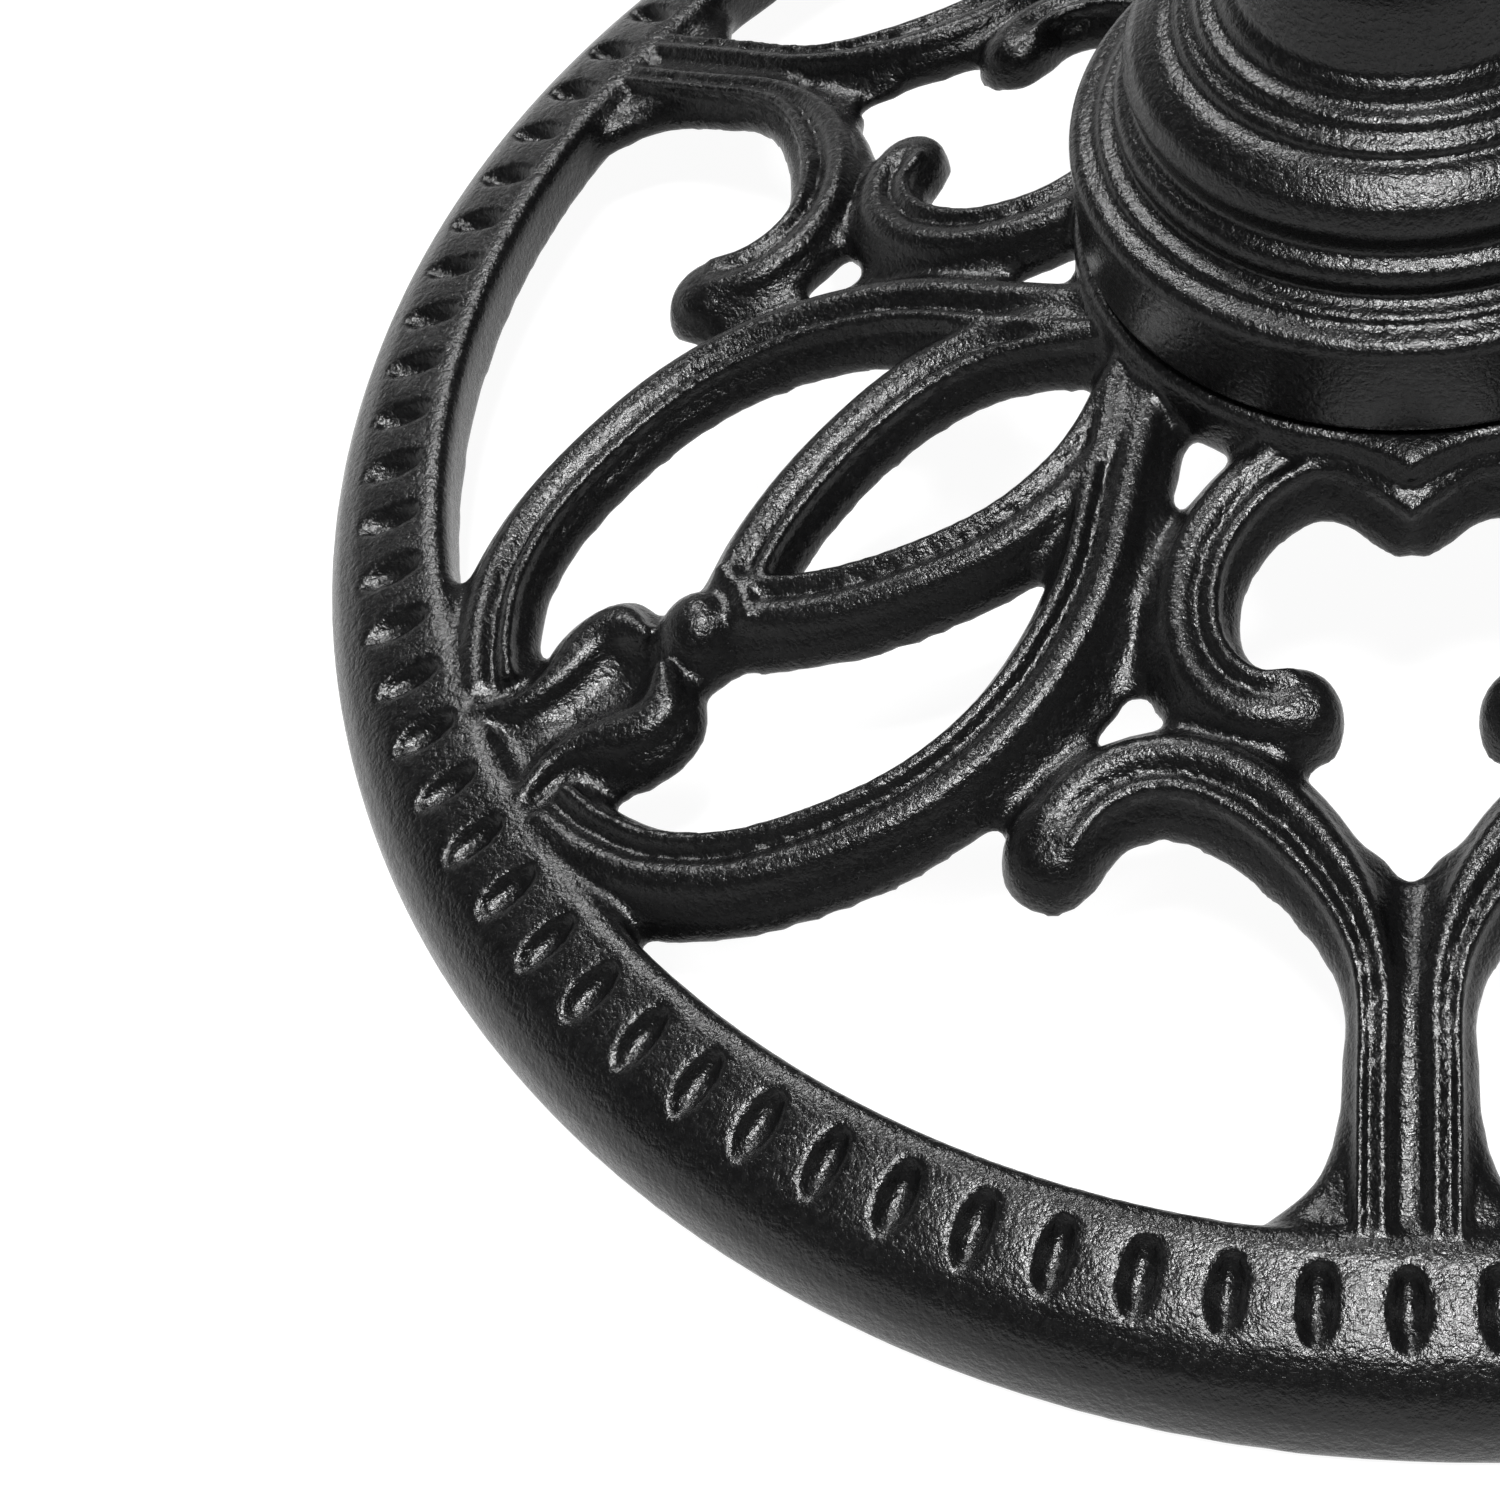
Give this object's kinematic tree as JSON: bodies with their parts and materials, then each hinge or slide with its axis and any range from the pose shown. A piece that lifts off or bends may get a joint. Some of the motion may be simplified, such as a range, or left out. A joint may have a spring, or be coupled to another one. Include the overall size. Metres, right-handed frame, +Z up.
{
  "type": "garden sundial",
  "caption": "Garden sundial: openwork cast base, turned column on a tie rod, and a horizontal dial head that turns and locks.",
  "frame": {"origin": "bottom centre of the base, on the surface it stands on", "axes": "+Z up the column, +Y along the dial's noon line, +X towards the afternoon hours"},
  "size_m": [0.2994, 0.3, 0.7374],
  "materials": {
    "black_iron": "satin black paint over a sandy casting",
    "steel": "zinc plated",
    "bronze": "aged, with green in the recesses"
  },
  "bodies": {
    "pedestal": {"base_casting": "black_iron", "column_foot": "black_iron", "baluster": "black_iron", "middle_collar": "black_iron", "upper_shaft": "black_iron", "capital": "black_iron", "tie_rod": "steel", "bottom_washer": "steel", "bottom_spring_washer": "steel", "bottom_nut": "steel", "top_washer": "steel", "top_nut": "steel"},
    "dial_head": {"dial_flange": "bronze", "dial_plate": "bronze", "gnomon": "bronze", "gnomon_screw_1": "bronze", "gnomon_screw_2": "bronze", "dial_screw_1": "bronze", "dial_screw_2": "bronze", "dial_screw_3": "bronze"},
    "thumb_screw": {"lock_screw": "bronze"}
  },
  "joints": [
    {"name": "dial_turn", "type": "hinge", "parent": "pedestal", "child": "dial_head", "pos_m": [0, 0, 0.612], "axis": [0, 0, 1], "continuous": true},
    {"name": "lock_screw_turn", "type": "hinge", "parent": "pedestal", "child": "thumb_screw", "pos_m": [0.05, 0, 0.605], "axis": [1, 0, 0], "continuous": true}
  ]
}
